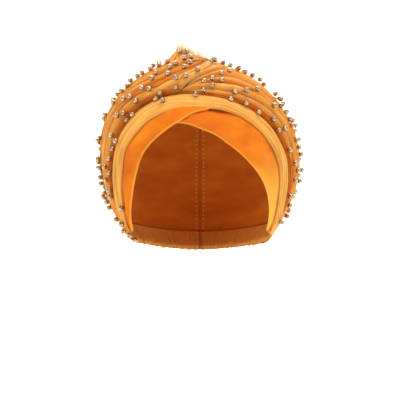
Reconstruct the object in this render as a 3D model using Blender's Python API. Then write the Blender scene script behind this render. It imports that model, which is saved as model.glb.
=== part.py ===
"""A pre-tied beaded turban: a fitted velvet cap, two velvet brow panels that cross, a folded
brow band, two pleated wraps of net over velvet, a gathered net tuft and gilt beads sewn on.

Sizes are in millimetres and become metres where a mesh is made. +Z is up, the face looks
along -Y and the wearer's left is +X. The origin is the inside of the crown, where the cap
bears on the top of the head.
"""

import math

import bmesh
import bpy
from mathutils import Vector
from mathutils.bvhtree import BVHTree

METRE = 0.001

# The head that the cap fits, an ellipsoid that is shorter below its widest level.
HEAD_CENTRE = Vector((0, 0, -90))
HEAD_RADII = Vector((75, 94, 90))
RADIUS_BELOW = 75
# The rounder outline of the wound turban.
WOUND_CENTRE = Vector((0.7, 4, -67.5))
WOUND_RADII = Vector((91, 106, 90.5))
# Every layer is measured along rays from this point inside the head.
MIDDLE = Vector((0, 3, -80))
TYPICAL_REACH = 90

# Layers, as heights above the head.
CAP_THICK = 1.8
PANEL_THICK = 1.8
GAP = 0.5
WRAP_GAP = 1.0
GROOVE = 2.0
RIM_HEIGHT = 5.0

# Lines around the face: how far each lies from the middle as seen from the front, at clock
# angles in degrees from straight up, positive to the wearer's left.
BROW_COLUMNS = ("clock", "left_hem", "band_low", "band_top", "right_hem")
BROW_LINES = (
    (-130, 79.5, 80.5, 83.0, 84.0),
    (-105, 62.5, 71.0, 77.5, 78.5),
    (-75, 54.0, 67.5, 75.5, 72.0),
    (-45, 49.0, 63.5, 75.5, 59.0),
    (-20, 49.5, 59.0, 71.5, 48.5),
    (0, 55.0, 56.5, 68.5, 40.5),
    (20, 58.0, 58.5, 67.5, 37.5),
    (45, 63.0, 63.5, 72.0, 37.0),
    (75, 69.0, 69.5, 75.5, 44.5),
    (105, 72.0, 72.5, 77.5, 62.5),
    (130, 77.5, 79.5, 83.0, 79.0),
)
BROW_LEVEL = 6.0
FOOT_CLOCK = 130

# The lower rim behind the feet of the face opening: azimuth from the front, elevation.
RIM_LINE = ((0, -34.0), (54, -34.0), (70, -40.0), (90, -44.0), (130, -47.0), (180, -48.5))

# The left wrap is gathered at the tuft. Its crossing edge over the right wrap is given by
# headings round the tuft, from the front towards the wearer's left, and spreads away from it.
TUFT_AXIS = Vector((-11, -3, 106)).normalized()
CROSSING_LINE = (
    (-30, 54.0),
    (-20, 44.5),
    (-8, 37.0),
    (5, 31.0),
    (20, 23.0),
    (35, 16.5),
    (60, 12.0),
    (75, 12.0),
    (90, 13.5),
    (103, 22.0),
    (112, 42.0),
    (118, 85.0),
    (120, 125.0),
)
UNDER_LEFT_WRAP = Vector((-0.5, 0.7, 0.5)).normalized()
CROSSING_FROM = -9.0
CROSSING_CLOCK = -21
CROSSING_NEAREST = 75.0
GATHER_SPREAD = 12.0
RIGHT_END_AZIMUTH = 120.0
TIP_CLOCK = -30.0
TIP_WIDTH = 3.5

# Pleats run along the wraps. Depths are at the crown and shrink with the cloth to the rim.
LEFT_PLEATS = 18
LEFT_PLEAT_DEPTH = 5.0
LEFT_BEND = 0.45
LEFT_ROWS = 17
LEFT_SWELL = 5.0
SWELL_AXIS = Vector((-1.0, -0.1, 1.4)).normalized()
RIGHT_CREASES = (0, 0.14, 0.34, 0.56, 0.79, 1)
RIGHT_PLEAT_DEPTH = 4.5
RIGHT_BELOW_LEFT = 1.3
RIGHT_COLUMNS = 20
STEPS_IN_PLEAT = 3
EDGE_HEIGHT = 7.5
EDGE_ROUND = 16.0
TUCK = 7.0
TUCK_THICK = 2.2

# The brow band.
BAND_ROLL_AT_BROW = 4.5
BAND_ROLL_AT_FEET = 1.5
BAND_COLUMNS = 30
BAND_ROWS = 6

# The tuft.
TUFT_SPREAD = 9.0
TUFT_HEIGHT = 17.0
TUFT_LEAN = Vector((-8, 1, 0))
TUFT_FLUTES = 7

# Beads are sewn in rows. Ends of a row are places seen from the front.
BEAD_RADIUS = 2.5
BEAD_SIDES = 10
BEAD_RINGS = 5
SEAT = 0.25
BEAD_COLUMNS = ("row", "from_x", "from_z", "to_x", "to_z", "count")
BEAD_ROWS = (
    ("crossing", -4, -8, 25, 8, 5),
    ("right crown", 13, 20, 52, 3, 4),
    ("right brow", 28, -14, 70, -42, 5),
    ("right side", 70, -14, 86, -62, 5),
    ("right foot", 84, -76, 69, -120, 3),
    ("left of the tuft", -28, 18, -50, 8, 4),
    ("left crown", -60, 2, -82, -28, 4),
    ("left brow", -40, 0, -54, -20, 3),
    ("left side", -88, -50, -84, -98, 4),
    ("left foot", -78, -108, -65, -128, 3),
)


def interpolate(rows, x, column):
    """A table's column at x, on a smooth curve through the rows."""
    last = len(rows) - 2
    i = max(0, min(last, sum(row[0] <= x for row in rows) - 1))
    before, start, end, after = rows[max(i - 1, 0)], rows[i], rows[i + 1], rows[min(i + 2, last + 1)]
    width = end[0] - start[0]
    t = min(1, max(0, (x - start[0]) / width))
    slope_in = width * (end[column] - before[column]) / (end[0] - before[0])
    slope_out = width * (after[column] - start[column]) / (after[0] - start[0])
    t2, t3 = t * t, t * t * t
    return (
        (2 * t3 - 3 * t2 + 1) * start[column]
        + (t3 - 2 * t2 + t) * slope_in
        + (3 * t2 - 2 * t3) * end[column]
        + (t3 - t2) * slope_out
    )


def smooth(low, high, x):
    """0 below low, 1 above high, with a soft start and end."""
    t = min(1, max(0, (x - low) / (high - low)))
    return t * t * (3 - 2 * t)


def rounding(distance, reach):
    """0 at an edge, 1 at a reach from it, along a quarter circle."""
    t = min(1, max(0, distance / reach))
    return math.sqrt(1 - (1 - t) ** 2)


def ellipsoid_reach(direction, centre, radii):
    """How far from MIDDLE an ellipsoid round it lies, along a direction."""
    start = Vector([(m - c) / r for m, c, r in zip(MIDDLE, centre, radii)])
    step = Vector([d / r for d, r in zip(direction, radii)])
    a, b, c = step.dot(step), start.dot(step), start.dot(start) - 1
    return (math.sqrt(b * b - a * c) - b) / a


def head_reach(direction):
    """How far from MIDDLE the head lies."""
    reach = ellipsoid_reach(direction, HEAD_CENTRE, HEAD_RADII)
    if MIDDLE.z + direction.z * reach < HEAD_CENTRE.z:
        radii = Vector((HEAD_RADII.x, HEAD_RADII.y, RADIUS_BELOW))
        reach = ellipsoid_reach(direction, HEAD_CENTRE, radii)
    return reach


def cloth_height(direction):
    """The wound turban's height above the head, never less than its rim is thick."""
    head = head_reach(direction)
    wound = ellipsoid_reach(direction, WOUND_CENTRE, WOUND_RADII) - head
    wound += LEFT_SWELL * max(0, direction.dot(SWELL_AXIS)) ** 4 * smooth(3, 12, wound)
    return (wound + RIM_HEIGHT + math.hypot(wound - RIM_HEIGHT, 2)) / 2


def front_direction(clock, out):
    """Direction of the brow point seen from the front at a clock angle, out from the middle."""
    angle = math.radians(clock)
    x, z = out * math.sin(angle), out * math.cos(angle) + MIDDLE.z - HEAD_CENTRE.z
    tall = (HEAD_RADII.z if z > 0 else RADIUS_BELOW) + BROW_LEVEL
    flat = 1 - (x / (HEAD_RADII.x + BROW_LEVEL)) ** 2 - (z / tall) ** 2
    y = -(HEAD_RADII.y + BROW_LEVEL) * math.sqrt(max(flat, 0))
    return (HEAD_CENTRE + Vector((x, y, z)) - MIDDLE).normalized()


def brow(line, clock):
    return interpolate(BROW_LINES, clock, BROW_COLUMNS.index(line))


def rim_direction(azimuth, lower=0.0):
    """Direction of the lower rim, at an azimuth from the front to the wearer's left."""
    elevation = interpolate(RIM_LINE, min(abs(azimuth), abs(azimuth - 360)), 1) - lower
    up, turn = math.radians(elevation), math.radians(azimuth)
    flat = math.cos(up)
    return Vector((flat * math.sin(turn), -flat * math.cos(turn), math.sin(up)))


def fan_direction(heading, spread):
    """Direction at a heading round the tuft and a spread away from it."""
    side = TUFT_AXIS.cross(Vector((0, 1, 0))).normalized() * -1
    side = side if side.x > 0 else -side
    front = TUFT_AXIS.cross(side)
    front = front if front.y < 0 else -front
    turn, away = math.radians(heading), math.radians(spread)
    across = front * math.cos(turn) + side * math.sin(turn)
    return TUFT_AXIS * math.cos(away) + across * math.sin(away)


def shifted(path, shift, pole):
    """A path moved sideways by a shift, towards a pole."""
    moved = []
    for i, aim in enumerate(path):
        run = path[min(i + 1, len(path) - 1)] - path[max(i - 1, 0)]
        side = aim.cross(run).normalized()
        side *= 1 if side.dot(pole - aim) > 0 else -1
        moved.append((aim + side * shift / TYPICAL_REACH).normalized())
    return moved


def crossing_path(start, end, shift=0.0):
    """Directions along the crossing edge, moved under the left wrap by a shift. A path to the
    edge's rear end goes on down to the rim."""
    count = round(abs(end - start))
    headings = [start + (end - start) * i / count for i in range(count + 1)]
    path = [fan_direction(h, interpolate(CROSSING_LINE, h, 1)) for h in headings]
    if end == CROSSING_LINE[-1][0]:
        foot = rim_direction(RIGHT_END_AZIMUTH)
        path += [path[-1].slerp(foot, 0.5), foot]
    return shifted(path, shift, UNDER_LEFT_WRAP)


def band_top_path(start, end):
    """Directions along the groove above the brow band."""
    count = round(abs(end - start) / 5)
    clocks = [start + (end - start) * i / count for i in range(count + 1)]
    path = [front_direction(clock, brow("band_top", clock)) for clock in clocks]
    return shifted(path, GROOVE, Vector((0, 1, 0)))


def path_length(path):
    return sum(a.angle(b) for a, b in zip(path, path[1:]))


def interpolate_line(x, points):
    """The height at x of straight lines joined end to end."""
    for (x1, y1), (x2, y2) in zip(points, points[1:]):
        if x <= x2:
            return y1 + (y2 - y1) * (x - x1) / (x2 - x1)
    return points[-1][1]


def along(path, fraction):
    """The direction a fraction of the way along a path."""
    steps = [a.angle(b) for a, b in zip(path, path[1:])]
    left = max(0, min(1, fraction)) * sum(steps)
    for start, end, step in zip(path, path[1:], steps):
        if left <= step:
            return start.slerp(end, left / step)
        left -= step
    return path[-1].copy()


def pleat(creases, at):
    """0 in a crease, 1 on the crest between two, for a place among sorted creases."""
    for low, high in zip(creases, creases[1:]):
        if low <= at <= high:
            return 1 - abs(2 * (at - low) / (high - low) - 1) ** 2.2
    return 0.0


def stations(creases):
    """Each crease and the places between it and the next where a pleat is drawn."""
    places = [
        low + (high - low) * step / STEPS_IN_PLEAT
        for low, high in zip(creases, creases[1:])
        for step in range(STEPS_IN_PLEAT)
    ]
    return places + [creases[-1]]


def finish(name, material, surface):
    """Turns the faces out and makes the object."""
    bmesh.ops.recalc_face_normals(surface, faces=surface.faces)
    mesh = bpy.data.meshes.new(name)
    surface.to_mesh(mesh)
    surface.free()
    mesh.shade_smooth()
    mesh.materials.append(material)
    made = bpy.data.objects.new(name, mesh)
    bpy.context.scene.collection.objects.link(made)
    return made


def build_layer(name, material, grid, inner, outer):
    """A closed layer of cloth. The grid is a list of columns of directions. inner and outer
    give the heights of its two faces above the head at a column and row."""
    columns, rows = len(grid) - 1, len(grid[0]) - 1
    surface = bmesh.new()
    for height in (inner, outer):
        made = bmesh.ops.create_grid(surface, x_segments=columns, y_segments=rows, size=1)
        for vertex in made["verts"]:
            column = round((vertex.co.x + 1) / 2 * columns)
            row = round((vertex.co.y + 1) / 2 * rows)
            aim = grid[column][row]
            vertex.co = (MIDDLE + aim * (head_reach(aim) + height(column, row))) * METRE
    bmesh.ops.remove_doubles(surface, verts=surface.verts, dist=METRE * 0.01)
    bmesh.ops.bridge_loops(surface, edges=[edge for edge in surface.edges if edge.is_boundary])
    return finish(name, material, surface)


def make_material(name, colour, roughness, metallic=0.0):
    made = bpy.data.materials.new(name)
    made.use_nodes = True
    shader = made.node_tree.nodes["Principled BSDF"]
    shader.inputs["Base Color"].default_value = (*colour, 1)
    shader.inputs["Roughness"].default_value = roughness
    shader.inputs["Metallic"].default_value = metallic
    return made


def build_cap(velvet):
    """The fitted cap closes over the crown and stays just inside the hems round the face."""
    columns, rows, inset = 36, 8, 3.0
    top = Vector((0, 0, 1))
    hems = [
        front_direction(clock, min(brow("left_hem", clock), brow("right_hem", clock)) + inset)
        for clock in range(-126, 127, 12)
    ]
    border = hems + [rim_direction(azimuth, lower=1) for azimuth in range(66, 295, 12)]
    border.append(border[0])
    edges = [along(border, column / columns) for column in range(columns)]
    grid = [[top.slerp(edge, row / rows) for row in range(rows + 1)] for edge in edges]
    grid.append(grid[0])
    return build_layer("cap", velvet, grid, lambda c, r: 0, lambda c, r: CAP_THICK)


def panel_grid(hem, start, end, columns, rows):
    """Directions from a hem to the panel's upper edge under the band."""
    grid, clocks = [], []
    for column in range(columns + 1):
        clock = start + (end - start) * column / columns
        top = brow("band_low", clock) * 0.45 + brow("band_top", clock) * 0.55
        low = min(brow(hem, clock), top - 1.5)
        grid.append([front_direction(clock, low + (top - low) * r / rows) for r in range(rows + 1)])
        clocks.append(clock)
    return grid, clocks


def left_panel_lift(clock):
    """How much higher the left panel lies where the right one is under it."""
    return (PANEL_THICK + GAP) * smooth(-88, -66, clock)


def build_right_panel(velvet):
    grid, clocks = panel_grid("right_hem", -52, FOOT_CLOCK, 24, 5)
    floor = CAP_THICK + GAP
    return build_layer(
        "right_panel", velvet, grid, lambda c, r: floor, lambda c, r: floor + PANEL_THICK
    )


def build_left_panel(velvet):
    grid, clocks = panel_grid("left_hem", -FOOT_CLOCK, 16, 20, 4)
    floor = CAP_THICK + GAP
    return build_layer(
        "left_panel",
        velvet,
        grid,
        lambda c, r: floor + left_panel_lift(clocks[c]),
        lambda c, r: floor + left_panel_lift(clocks[c]) + PANEL_THICK,
    )


def build_band(net):
    """The folded band rolls round the brow from one foot to the other."""
    grid, clocks = [], []
    for column in range(BAND_COLUMNS + 1):
        clock = FOOT_CLOCK * (2 * column / BAND_COLUMNS - 1)
        low, top = brow("band_low", clock), brow("band_top", clock)
        shares = [0.5 - 0.5 * math.cos(math.pi * r / BAND_ROWS) for r in range(BAND_ROWS + 1)]
        grid.append([front_direction(clock, low + (top - low) * share) for share in shares])
        clocks.append(clock)

    def floor(c, r):
        lift = left_panel_lift(clocks[c]) * (1 - smooth(18, 40, clocks[c]))
        return CAP_THICK + PANEL_THICK + 2 * GAP + lift

    def top(c, r):
        foot = smooth(70, FOOT_CLOCK, abs(clocks[c]))
        roll = BAND_ROLL_AT_BROW + (BAND_ROLL_AT_FEET - BAND_ROLL_AT_BROW) * foot
        return floor(c, r) + 1.2 + roll * math.sin(math.pi * r / BAND_ROWS)

    return build_layer("brow_band", net, grid, floor, top)


def tuck_top(direction):
    """The height of the right wrap's margin that is tucked under the left wrap."""
    floor = CAP_THICK + WRAP_GAP
    return floor + min(TUCK_THICK, 0.4 * (cloth_height(direction) - floor))


def build_right_wrap(net):
    """The right wrap is a crescent of pleats from a tip under the left wrap, above the band,
    to the rim behind the wearer's left ear. Its upper margin is tucked under the left wrap."""
    tip = front_direction(TIP_CLOCK, brow("band_top", TIP_CLOCK) + TIP_WIDTH)
    lower = band_top_path(TIP_CLOCK, FOOT_CLOCK)
    start, end = CROSSING_FROM + 3, CROSSING_LINE[-1][0]
    edges = [[tip] + crossing_path(start, end, shift) for shift in (-3.2, -2.4)]
    edges.append([(tip + Vector((-0.02, 0, 0.05))).normalized()] + crossing_path(start, end, TUCK))
    shares = stations(RIGHT_CREASES)
    grid = []
    for column in range(RIGHT_COLUMNS + 1):
        u = column / RIGHT_COLUMNS
        low = along(lower, u)
        high, step, tuck = [along(edge, u) for edge in edges]
        grid.append([low.slerp(high, share) for share in shares] + [step, tuck])

    def top(c, r):
        aim, u = grid[c][r], c / RIGHT_COLUMNS
        thin = tuck_top(aim)
        if r >= len(shares):
            return thin
        full = cloth_height(aim)
        full -= RIGHT_BELOW_LEFT * smooth(4, 14, full)
        distance = aim.angle(grid[c][0]) * head_reach(aim)
        edge = min(full, EDGE_HEIGHT)
        height = edge + (full - edge) * rounding(distance, EDGE_ROUND)
        depth = RIGHT_PLEAT_DEPTH * min(1, height / 18) * (1 - pleat(RIGHT_CREASES, shares[r]))
        if r in (0, len(shares) - 1):
            depth *= 0.4
        return thin + max(0, height - depth - thin) * smooth(0.085, 0.19, u)

    return build_layer("right_wrap", net, grid, lambda c, r: CAP_THICK + WRAP_GAP, top)


def left_wrap_grid(lines):
    """Directions down each line of the left wrap, from the tuft to the rim. The first line is
    the crossing edge and the groove above the band; the last is the edge behind the right."""
    crossing = crossing_path(CROSSING_NEAREST, CROSSING_FROM)
    groove = band_top_path(CROSSING_CLOCK, -FOOT_CLOCK)
    front = crossing + groove
    corner = path_length(crossing + groove[:1]) / path_length(front)
    corner_row = round(corner * (LEFT_ROWS - 1))
    back = crossing_path(CROSSING_NEAREST, CROSSING_LINE[-1][0])
    foot = math.degrees(math.atan2(front[-1].x, -front[-1].y))

    def rim(w):
        azimuth = foot + (RIGHT_END_AZIMUTH - 360 - foot) * w
        return front[-1].copy() if w == 0 else rim_direction(azimuth + 360 if azimuth < -180 else azimuth)

    def gather(w):
        share = w - 0.13 * math.sin(2 * math.pi * w)
        return fan_direction(CROSSING_NEAREST - 360 * share, GATHER_SPREAD)

    grid = []
    for w in lines:
        line = [TUFT_AXIS.copy()]
        for row in range(LEFT_ROWS):
            v = interpolate_line(row, ((0, 0), (corner_row, corner), (LEFT_ROWS - 1, 1)))
            aim = gather(w).slerp(rim(w), v)
            pull = max(0, 1 - w / LEFT_BEND) ** 1.5
            aim += (along(front, v) - gather(0).slerp(rim(0), v)) * pull
            pull = max(0, 1 - (1 - w) / LEFT_BEND) ** 1.5
            aim += (along(back, v) - gather(1).slerp(rim(1), v)) * pull
            line.append(aim.normalized())
        grid.append(line)
    return grid


def build_left_wrap(net):
    """The left wrap covers the crown, the back and the wearer's right. Its pleats run from
    the tuft to the rim and its front edge crosses over the right wrap."""
    creases = [i / LEFT_PLEATS for i in range(LEFT_PLEATS + 1)]
    lines = stations(creases)
    grid = left_wrap_grid(lines)
    crossing = crossing_path(CROSSING_FROM, CROSSING_LINE[-1][0])
    crossing += band_top_path(CROSSING_CLOCK, TIP_CLOCK - 4)

    def inner(c, r):
        aim = grid[c][r]
        near = min(aim.angle(other) for other in crossing) * 100
        lifted = 1 - smooth(TUCK + 10, TUCK + 22, near)
        return CAP_THICK + WRAP_GAP + (tuck_top(aim) - CAP_THICK) * lifted

    def outer(c, r):
        aim = grid[c][r]
        full = cloth_height(aim)
        depth = LEFT_PLEAT_DEPTH * min(1, full / 20) * (1 - pleat(creases, lines[c]))
        height = full - depth * smooth(0, 3, r)
        if lines[c] < 0.5:
            beside_band = smooth(0.25, 0.42, (r - 1) / (LEFT_ROWS - 1))
            edge = min(full, EDGE_HEIGHT) * beside_band + (full - 2) * (1 - beside_band)
            distance = aim.angle(grid[0][r]) * head_reach(aim)
            height = edge + (height - edge) * rounding(distance, EDGE_ROUND)
        return max(height, inner(c, r) + 1.2)

    return build_layer("left_wrap", net, grid, inner, outer)


def build_tuft(net):
    """The ends of the left wrap's net stand up in a fluted, leaning tuft."""
    columns, rows = 2 * TUFT_FLUTES, 5
    grid = [
        [fan_direction(360 * (c % columns) / columns, TUFT_SPREAD * r / rows) for r in range(rows + 1)]
        for c in range(columns + 1)
    ]

    def floor(c, r):
        return cloth_height(grid[c][r]) + GAP

    def top(c, r):
        share = 1 - r / rows
        flute = 1 - 0.25 * (c % 2) * math.sin(math.pi * share)
        return floor(c, r) + 0.8 + TUFT_HEIGHT * share**1.6 * flute

    tuft = build_layer("net_tuft", net, grid, floor, top)
    for vertex in tuft.data.vertices:
        place = vertex.co / METRE - MIDDLE
        aim = place.normalized()
        rise = place.length - head_reach(aim) - cloth_height(aim)
        vertex.co += TUFT_LEAN * smooth(0, TUFT_HEIGHT, rise) * METRE
    return tuft


def build_beads(gilt, cloth):
    """Beads stand on whatever cloth lies under them, seen from the front."""
    trees = []
    for layer in cloth:
        corners = [vertex.co for vertex in layer.data.vertices]
        trees.append(BVHTree.FromPolygons(corners, [face.vertices[:] for face in layer.data.polygons]))
    clear = (BEAD_RADIUS + SEAT) * METRE
    number = 0
    for row, from_x, from_z, to_x, to_z, count in BEAD_ROWS:
        for i in range(count):
            share = i / (count - 1)
            x, z = from_x + (to_x - from_x) * share, from_z + (to_z - from_z) * share
            hits = []
            while not hits:
                start = Vector((x, -300, z)) * METRE
                hits = [tree.ray_cast(start, Vector((0, 1, 0))) for tree in trees]
                hits = [hit for hit in hits if hit[0]]
                x, z = x * 0.99, MIDDLE.z + (z - MIDDLE.z) * 0.99
            place = min(hits, key=lambda hit: hit[3])[0]
            outward = (place - MIDDLE * METRE).normalized()
            centre = place + outward * clear
            while min(tree.find_nearest(centre)[3] for tree in trees) < clear:
                centre += outward * METRE * 0.1
            number += 1
            bead = bmesh.new()
            made = bmesh.ops.create_uvsphere(
                bead, u_segments=BEAD_SIDES, v_segments=BEAD_RINGS, radius=BEAD_RADIUS * METRE
            )
            bmesh.ops.translate(bead, verts=made["verts"], vec=centre)
            finish(f"bead_{number:02d}", gilt, bead)


def main():
    for old in list(bpy.data.objects):
        bpy.data.objects.remove(old)
    velvet = make_material("amber_velvet", (0.80, 0.25, 0.02), 0.75)
    net = make_material("amber_net", (0.86, 0.42, 0.12), 0.6)
    pale = make_material("cream_net", (0.92, 0.80, 0.62), 0.6)
    gilt = make_material("gilt_bead", (0.60, 0.44, 0.20), 0.3, metallic=1.0)
    cloth = [
        build_cap(velvet),
        build_right_panel(velvet),
        build_left_panel(velvet),
        build_band(net),
        build_right_wrap(net),
        build_left_wrap(net),
        build_tuft(pale),
    ]
    build_beads(gilt, cloth)


main()
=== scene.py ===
"""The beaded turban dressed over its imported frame: amber velvet, a veil of gathered net, a
cream net tuft and gilt beads. Sizes are in millimetres and become metres where a mesh is made.
+Z is up, the turban's front looks along -Y, +X is the wearer's left, and the origin is the
inside of the crown.
"""

import math

import bmesh
import bpy
import numpy as np
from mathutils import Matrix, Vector
from mathutils.bvhtree import BVHTree


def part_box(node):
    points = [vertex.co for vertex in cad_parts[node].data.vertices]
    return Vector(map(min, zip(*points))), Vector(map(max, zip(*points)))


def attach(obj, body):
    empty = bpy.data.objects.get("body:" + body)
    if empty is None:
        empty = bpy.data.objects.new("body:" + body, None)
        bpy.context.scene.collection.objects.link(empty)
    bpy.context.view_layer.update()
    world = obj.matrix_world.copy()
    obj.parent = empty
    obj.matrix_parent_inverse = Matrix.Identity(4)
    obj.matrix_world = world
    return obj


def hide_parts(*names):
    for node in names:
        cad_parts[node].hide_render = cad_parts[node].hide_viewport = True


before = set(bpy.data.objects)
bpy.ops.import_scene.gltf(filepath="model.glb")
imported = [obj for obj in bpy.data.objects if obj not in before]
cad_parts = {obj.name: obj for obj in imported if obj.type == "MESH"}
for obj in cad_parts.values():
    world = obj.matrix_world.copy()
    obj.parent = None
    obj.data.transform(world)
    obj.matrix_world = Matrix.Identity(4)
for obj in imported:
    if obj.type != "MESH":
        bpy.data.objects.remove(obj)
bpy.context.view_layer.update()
MM = 0.001


# STUDIO. A white sweep far below and behind the turban, which is held up where a head would
# hold it. Two tall soft lights stand in front, left and right, one hangs above, one lights
# the turban from behind, and a wide one washes the sweep.

CAMERA_AWAY, CAMERA_HEIGHT = 1300, -102
FRAME_WIDTH = 360
FLOOR_HEIGHT, SWEEP_HALF_WIDTH = -420, 4000
SWEEP_START, SWEEP_BEND, SWEEP_RADIUS, SWEEP_TOP = -2500, 1700, 900, 2500
TURBAN_AT, SWEEP_AT = (0, 0, -60), (0, 2500, 0)
WORLD_LIGHT = 0.22

# Each light's name, place, target, width, height and watts.
LIGHTS = (
    ("left_softbox", (-1150, -950, 250), TURBAN_AT, 1300, 1200, 12.2),
    ("right_softbox", (1150, -900, 250), TURBAN_AT, 1300, 1200, 10.8),
    ("top_light", (100, -350, 1200), TURBAN_AT, 700, 500, 13),
    ("rear_light", (0, 1500, 900), TURBAN_AT, 1400, 500, 9),
    ("back_wash", (0, 1100, 1500), SWEEP_AT, 3600, 500, 110),
)

camera = bpy.data.cameras.new("camera")
camera.lens = camera.sensor_width * CAMERA_AWAY / FRAME_WIDTH
camera_object = bpy.data.objects.new("camera", camera)
camera_object.location = (0, -CAMERA_AWAY * MM, CAMERA_HEIGHT * MM)
camera_object.rotation_euler = (math.pi / 2, 0, 0)
bpy.context.scene.collection.objects.link(camera_object)
bpy.context.scene.camera = camera_object
bpy.context.scene.view_settings.view_transform = "Standard"


def finish_named(name, roughness, **sockets):
    """A new material and its shader, with plain values set on the shader's own sockets."""
    made = bpy.data.materials.new(name)
    made.use_nodes = True
    shader = made.node_tree.nodes["Principled BSDF"]
    shader.inputs["Roughness"].default_value = roughness
    for socket, value in sockets.items():
        shader.inputs[socket.replace("_", " ")].default_value = value
    return made, shader


def piece_from(grid, name, finish):
    """Turns a bmesh into an object with a finish, and smooth faces."""
    mesh = bpy.data.meshes.new(name)
    grid.to_mesh(mesh)
    grid.free()
    mesh.shade_smooth()
    mesh.materials.append(finish)
    piece = bpy.data.objects.new(name, mesh)
    bpy.context.scene.collection.objects.link(piece)
    return piece


white, _ = finish_named("studio_white", 0.9, Base_Color=(0.93, 0.93, 0.93, 1))
profile = [(SWEEP_START, FLOOR_HEIGHT)]
for turn in map(math.radians, range(0, 91, 10)):
    up = FLOOR_HEIGHT + SWEEP_RADIUS * (1 - math.cos(turn))
    profile.append((SWEEP_BEND + SWEEP_RADIUS * math.sin(turn), up))
profile.append((SWEEP_BEND + SWEEP_RADIUS, SWEEP_TOP))
sweep = bmesh.new()
edge = [sweep.verts.new((-SWEEP_HALF_WIDTH * MM, y * MM, z * MM)) for y, z in profile]
spine = [sweep.edges.new(pair) for pair in zip(edge, edge[1:])]
side = bmesh.ops.extrude_edge_only(sweep, edges=spine)["geom"]
bmesh.ops.translate(
    sweep,
    verts=[part for part in side if isinstance(part, bmesh.types.BMVert)],
    vec=(2 * SWEEP_HALF_WIDTH * MM, 0, 0),
)
bmesh.ops.recalc_face_normals(sweep, faces=sweep.faces)
piece_from(sweep, "sweep", white)

for name, place, target, width, height, watts in LIGHTS:
    lamp = bpy.data.lights.new(name, "AREA")
    lamp.shape = "RECTANGLE"
    lamp.size, lamp.size_y, lamp.energy = width * MM, height * MM, watts
    lamp_object = bpy.data.objects.new(name, lamp)
    lamp_object.location = Vector(place) * MM
    look = Vector(target) * MM - lamp_object.location
    lamp_object.rotation_euler = look.to_track_quat("-Z", "Y").to_euler()
    bpy.context.scene.collection.objects.link(lamp_object)
world = bpy.data.worlds.new("studio")
world.use_nodes = True
world.node_tree.nodes["Background"].inputs["Color"].default_value = (1, 1, 1, 1)
world.node_tree.nodes["Background"].inputs["Strength"].default_value = WORLD_LIGHT
bpy.context.scene.world = world


# CAP. The fitted cap of stretch velvet that takes the head, with a turned hem. The wraps are
# sewn on over it, so only its inside shows, through the opening at the front and from below:
# six gores, stitched seams and a ribbed elastic tape round the hem.

HEAD_CENTRE = np.array((0, 0, -90))
HEAD_RADII = np.array((75, 94, 90))
RADIUS_BELOW = 75
MIDDLE = np.array((0, 3, -80))
STRAIGHT_UP = np.array((0.0, 0.0, 1.0))
BROW_COLUMNS = ("clock", "left_hem", "band_low", "band_top", "right_hem")
BROW_LINES = (
    (-130, 79.5, 80.5, 83.0, 84.0),
    (-105, 62.5, 71.0, 77.5, 78.5),
    (-75, 54.0, 67.5, 75.5, 72.0),
    (-45, 49.0, 63.5, 75.5, 59.0),
    (-20, 49.5, 59.0, 70.5, 48.5),
    (0, 55.0, 56.5, 66.0, 40.5),
    (20, 58.0, 58.5, 66.0, 37.5),
    (45, 63.0, 63.5, 72.0, 37.0),
    (75, 69.0, 69.5, 75.5, 44.5),
    (105, 72.0, 72.5, 77.5, 62.5),
    (130, 77.5, 79.5, 83.0, 79.0),
)
BROW_LEVEL = 6.0
RIM_LINE = ((0, -34.0), (54, -34.0), (70, -40.0), (90, -44.0), (130, -47.0), (180, -48.5))
CAP_THICK, HEM_OUT, HEM_IN = 1.8, 0.5, 0.3
CAP_RIPPLES, RIPPLE_HEIGHT = 17, 0.125
HEM_FROM, HEM_FULL, HEM_EDGE = 0.94, 0.99, 0.998
HEM_OUTSIDE_PANELS, HEM_BELOW_RIM, BORDER_SMOOTHINGS = 3, 1, 6

LINING_DEEP, LINING_BRIGHT, TAPE = (0.50, 0.115, 0.006), (0.64, 0.17, 0.011), (0.74, 0.30, 0.045)
SEAM_FOLD, SEAM_THREAD, TAPE_EDGE = (0.30, 0.05, 0.003), (0.80, 0.42, 0.12), (0.42, 0.09, 0.005)

# Widths at a seam as shares of a gore, those of the tape as shares of the way in from the hem,
# and how often stitches and ribs repeat: stitches in radians a metre, ribs in times round it.
GORES, SEAM_WIDTH, FOLD_WIDTH, THREAD_WIDTH = 6, 0.035, 0.006, 0.004
TAPE_SHARE, TAPE_EDGE_SHARE, TAPE_COVER = 0.055, 0.003, 0.75
STITCH_TURNS, TAPE_RIBS = 1500, 150
SEAM_RELIEF, RIB_RELIEF = 1.2, 0.5
MOTTLE_STOPS = (0.3, 0.7)
RELIEF_DETAIL = 3
MERGED_WITHIN = 0.02


def unit(vectors):
    return vectors / np.linalg.norm(vectors, axis=-1, keepdims=True)


def part_way(x, start, stop):
    """0 up to a start, 1 from a stop on, and even in between."""
    return np.clip((x - start) / (stop - start), 0, 1)


def smooth(low, high, x):
    """0 below low, 1 above high, with a soft start and end."""
    t = part_way(x, low, high)
    return t * t * (3 - 2 * t)


def look_up(rows, x, column=1):
    """A table's column at x, on a smooth curve through the rows."""
    places, values = np.array([(row[0], row[column]) for row in rows], float).T
    slope = np.gradient(values, places)
    slope[1:-1] = (values[2:] - values[:-2]) / (places[2:] - places[:-2])
    i = np.clip(np.searchsorted(places, x, side="right") - 1, 0, len(rows) - 2)
    width = places[i + 1] - places[i]
    t = np.clip((x - places[i]) / width, 0, 1)
    t2, t3 = t * t, t * t * t
    return (
        (2 * t3 - 3 * t2 + 1) * values[i]
        + (t3 - 2 * t2 + t) * width * slope[i]
        + (3 * t2 - 2 * t3) * values[i + 1]
        + (t3 - t2) * width * slope[i + 1]
    )


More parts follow.
